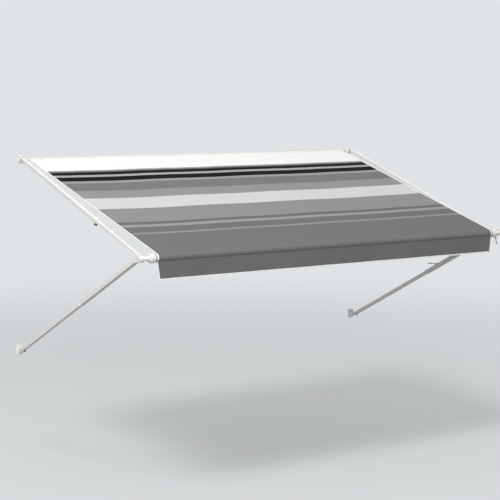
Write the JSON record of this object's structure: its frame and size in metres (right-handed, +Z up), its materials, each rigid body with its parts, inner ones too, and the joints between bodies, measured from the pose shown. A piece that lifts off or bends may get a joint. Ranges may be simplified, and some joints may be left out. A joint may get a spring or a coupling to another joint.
{
  "type": "roll out awning",
  "caption": "Wall-mounted roll out patio awning: striped canopy on a spring roller, carried by telescoping arms and rafters that fold flat against a vehicle's side.",
  "frame": {"origin": "middle of the awning rail's back face, on the wall", "axes": "+X along the rail to the right as seen from outside, -Y out from the wall, +Z up"},
  "size_m": [4.343, 2.4765, 2.004],
  "materials": {
    "white_extrusion": "white powder coat, satin",
    "white_casting": "white powder coat on a casting",
    "roller_steel": "grey painted roll-formed tube",
    "bright_steel": "zinc plated",
    "spring_steel": "oiled spring wire",
    "black_plastic": "moulded, fine grain",
    "white_plastic": "moulded nylon",
    "canopy_cloth": "striped coated awning cloth in greys",
    "valance_cloth": "coated awning cloth, dark grey",
    "bead_cord": "extruded bead"
  },
  "bodies": {
    "wall_side": {"awning_rail": "white_extrusion", "rail_screws": "bright_steel", "left_top_bracket": "white_casting", "right_top_bracket": "white_casting", "left_bottom_bracket": "white_casting", "right_bottom_bracket": "white_casting", "top_pins": "bright_steel", "bottom_pins": "bright_steel", "canopy": "canopy_cloth", "canopy_rail_bead": "bead_cord"},
    "roller": {"roller_tube": "roller_steel", "left_end_cap": "white_casting", "right_end_cap": "white_casting", "left_torsion_spring": "spring_steel", "right_torsion_spring": "spring_steel", "canopy_roller_bead": "bead_cord", "valance": "valance_cloth", "valance_bead": "bead_cord"},
    "lock": {"roll_lock": "bright_steel"},
    "left_leg_body": {"left_leg": "white_extrusion", "left_foot": "white_casting", "left_foot_pins": "bright_steel", "left_leg_glide": "white_plastic"},
    "left_latch_body": {"left_foot_latch": "black_plastic"},
    "left_arm_body": {"left_arm_channel": "white_extrusion", "left_arm_collar": "white_plastic", "left_head": "white_casting", "left_axle": "bright_steel", "left_spring_anchor": "white_casting", "left_handle_bracket": "bright_steel", "left_handle_pin": "bright_steel"},
    "left_handle_body": {"left_lift_handle": "white_plastic"},
    "left_rafter_body": {"left_rafter_tube": "white_extrusion", "left_rafter_hinge": "white_casting", "left_rafter_collar": "white_casting"},
    "left_rafter_slide_body": {"left_rafter_inner": "white_extrusion", "left_rafter_claw": "white_casting"},
    "left_knob_body": {"left_rafter_knob": "black_plastic"},
    "right_leg_body": {"right_leg": "white_extrusion", "right_foot": "white_casting", "right_foot_pins": "bright_steel", "right_leg_glide": "white_plastic"},
    "right_latch_body": {"right_foot_latch": "black_plastic"},
    "right_arm_body": {"right_arm_channel": "white_extrusion", "right_arm_collar": "white_plastic", "right_head": "white_casting", "right_axle": "bright_steel", "right_spring_anchor": "white_casting", "right_handle_bracket": "bright_steel", "right_handle_pin": "bright_steel", "lock_pin": "white_casting"},
    "right_handle_body": {"right_lift_handle": "white_plastic"},
    "right_rafter_body": {"right_rafter_tube": "white_extrusion", "right_rafter_hinge": "white_casting", "right_rafter_collar": "white_casting"},
    "right_rafter_slide_body": {"right_rafter_inner": "white_extrusion", "right_rafter_claw": "white_casting"},
    "right_knob_body": {"right_rafter_knob": "black_plastic"}
  },
  "joints": [
    {"name": "left_arm_swing", "type": "hinge", "parent": "wall_side", "child": "left_leg_body", "pos_m": [-2.1335, -0.076, -1.91], "axis": [-1, 0, 0], "range_deg": [0, 63.73], "deforming": ["canopy"]},
    {"name": "left_arm_extend", "type": "slide", "parent": "left_leg_body", "child": "left_arm_body", "axis": [0, 0.8967, -0.4427], "range_m": [0, 0.72283]},
    {"name": "left_rafter_swing", "type": "hinge", "parent": "wall_side", "child": "left_rafter_body", "pos_m": [-2.0855, -0.045, 0], "axis": [1, 0, 0], "range_deg": [0, 71.43]},
    {"name": "left_rafter_slide", "type": "slide", "parent": "left_rafter_body", "child": "left_rafter_slide_body", "axis": [0, 0.9479, 0.3187], "range_m": [0, 0.79771]},
    {"name": "right_arm_swing", "type": "hinge", "parent": "wall_side", "child": "right_leg_body", "pos_m": [2.1335, -0.076, -1.91], "axis": [-1, 0, 0], "range_deg": [0, 63.74]},
    {"name": "right_arm_extend", "type": "slide", "parent": "right_leg_body", "child": "right_arm_body", "axis": [0, 0.8967, -0.4427], "range_m": [0, 0.72283]},
    {"name": "right_rafter_swing", "type": "hinge", "parent": "wall_side", "child": "right_rafter_body", "pos_m": [2.0855, -0.045, 0], "axis": [1, 0, 0], "range_deg": [0, 71.43]},
    {"name": "right_rafter_slide", "type": "slide", "parent": "right_rafter_body", "child": "right_rafter_slide_body", "axis": [0, 0.9479, 0.3187], "range_m": [0, 0.79771]},
    {"name": "roller_spin", "type": "hinge", "parent": "left_arm_body", "child": "roller", "pos_m": [0, -2.42766, -0.77137], "axis": [1, 0, 0], "range_deg": [0, 3303.83]},
    {"name": "left_handle_fold", "type": "hinge", "parent": "left_arm_body", "child": "left_handle_body", "pos_m": [-2.1335, -1.48508, -1.18372], "axis": [-1, 0, 0], "range_deg": [0, 22]},
    {"name": "left_latch_release", "type": "hinge", "parent": "left_leg_body", "child": "left_latch_body", "pos_m": [-2.1335, -0.11187, -1.89229], "axis": [-1, 0, 0], "range_deg": [0, 25], "stiffness_Nm_per_rad": 0.2, "springref_deg": -17.19},
    {"name": "left_knob_turn", "type": "hinge", "parent": "left_rafter_body", "child": "left_knob_body", "pos_m": [-2.0855, -1.55115, -0.50638], "axis": [0, 0.3187, -0.9479], "range_deg": [0, 540]},
    {"name": "right_handle_fold", "type": "hinge", "parent": "right_arm_body", "child": "right_handle_body", "pos_m": [2.1335, -1.48508, -1.18372], "axis": [-1, 0, 0], "range_deg": [0, 22]},
    {"name": "right_latch_release", "type": "hinge", "parent": "right_leg_body", "child": "right_latch_body", "pos_m": [2.1335, -0.11187, -1.89229], "axis": [-1, 0, 0], "range_deg": [0, 25], "stiffness_Nm_per_rad": 0.2, "springref_deg": -17.19},
    {"name": "right_knob_turn", "type": "hinge", "parent": "right_rafter_body", "child": "right_knob_body", "pos_m": [2.0855, -1.55115, -0.50638], "axis": [0, 0.3187, -0.9479], "range_deg": [0, 540]},
    {"name": "lock_lever_turn", "type": "hinge", "parent": "right_arm_body", "child": "lock", "pos_m": [2.1335, -2.44498, -0.81828], "axis": [1, 0, 0], "range_deg": [0, 35]}
  ],
  "couplings": [
    {"joint": "left_arm_extend", "follows": "left_arm_swing", "m_per_rad": 0.6498},
    {"joint": "left_rafter_swing", "follows": "left_arm_swing", "ratio": 1.1207},
    {"joint": "left_rafter_slide", "follows": "left_arm_swing", "m_per_rad": 0.71713},
    {"joint": "right_arm_extend", "follows": "left_arm_swing", "m_per_rad": 0.6498},
    {"joint": "right_rafter_swing", "follows": "left_arm_swing", "ratio": 1.1207},
    {"joint": "right_rafter_slide", "follows": "left_arm_swing", "m_per_rad": 0.71713},
    {"joint": "right_arm_swing", "follows": "left_arm_swing", "ratio": 1},
    {"joint": "roller_spin", "follows": "left_arm_swing", "ratio": 51.843}
  ]
}
